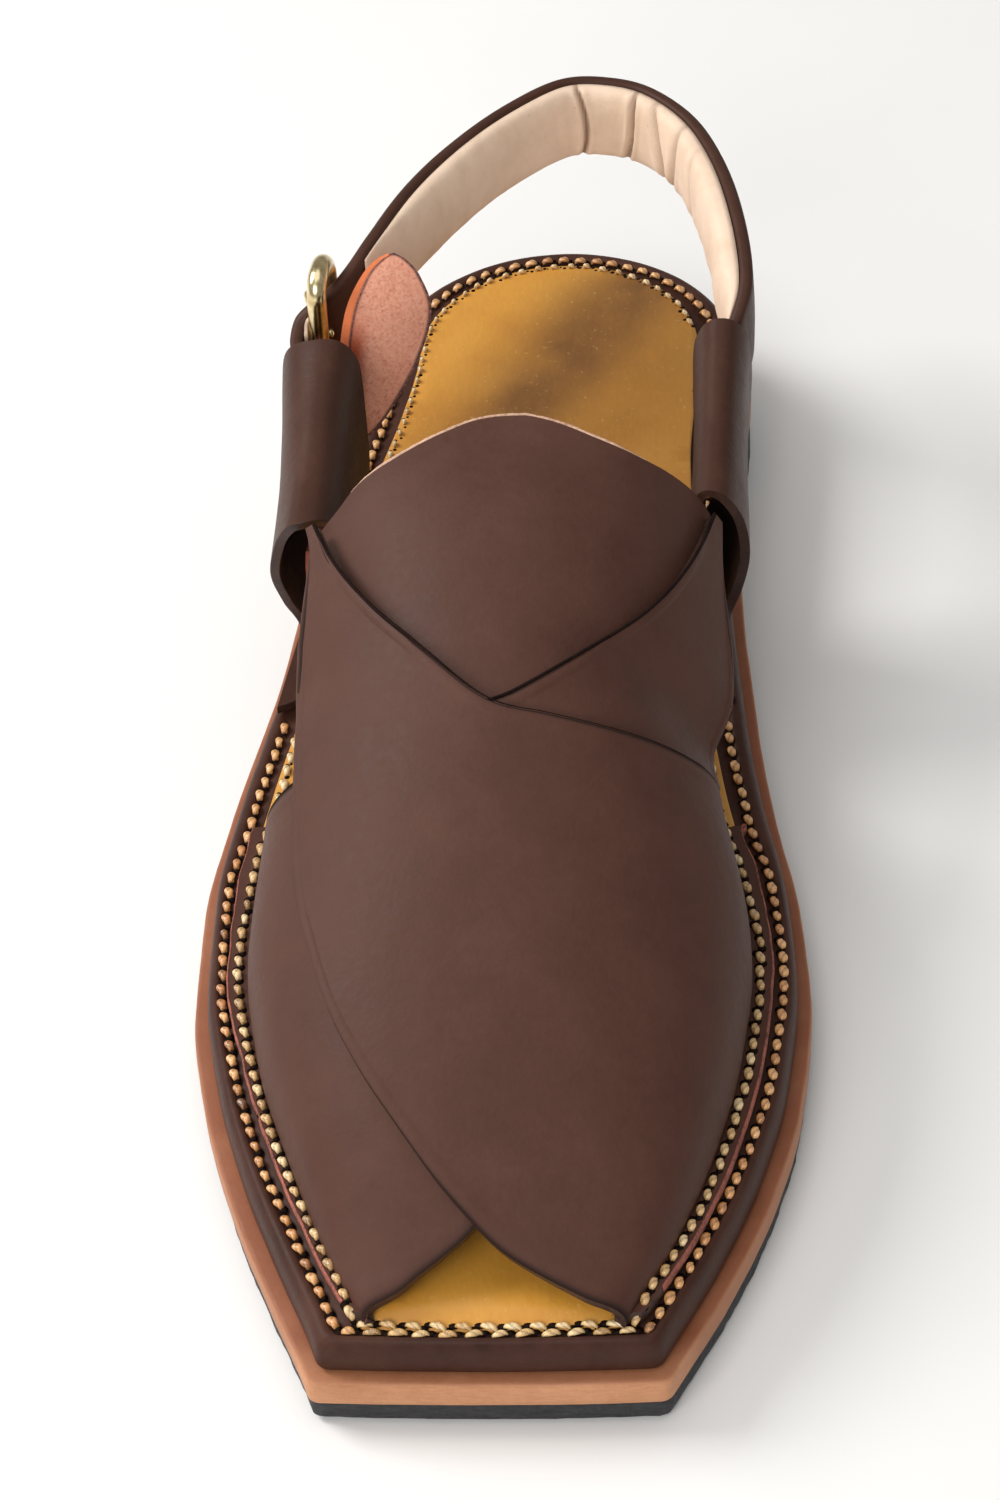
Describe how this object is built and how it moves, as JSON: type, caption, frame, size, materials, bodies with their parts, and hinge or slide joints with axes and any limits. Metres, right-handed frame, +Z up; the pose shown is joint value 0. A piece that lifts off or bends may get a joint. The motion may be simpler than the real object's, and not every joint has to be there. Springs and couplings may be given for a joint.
{
  "type": "peshawari chappal",
  "caption": "Men's right leather sandal with crossed vamp panels, a tongue, folded side loops, a padded buckled heel strap and a layered stitched sole, open at toe and heel.",
  "frame": {"origin": "centre of the bounding box at the ground, under the sole", "axes": "+Z up, toe towards -Y, heel towards +Y, +X towards the inner (medial) side of the foot; right shoe"},
  "size_m": [0.1079, 0.289, 0.0769],
  "materials": {
    "sole_rubber": "matt black rubber with a rough cut edge",
    "midsole_leather": "undyed tan sole leather, lightly burnished edge",
    "brown_leather": "fine grained brown leather, satin",
    "insole_leather": "mustard sock leather, satin, brown near the heel",
    "padding_lining": "soft beige lining leather over foam, creased",
    "buckle_brass": "polished pale brass",
    "guard_suede": "raw pink suede with an orange cut edge"
  },
  "bodies": {
    "root": {"outsole": "sole_rubber", "midsole": "midsole_leather", "rim": "brown_leather", "insole": "insole_leather", "upper": "brown_leather", "tongue": "brown_leather", "lateral_loop": "brown_leather", "medial_loop": "brown_leather", "heel_strap": "brown_leather", "heel_strap_padding": "padding_lining", "buckle_frame": "buckle_brass", "buckle_prong": "buckle_brass", "buckle_guard": "guard_suede"}
  },
  "joints": []
}
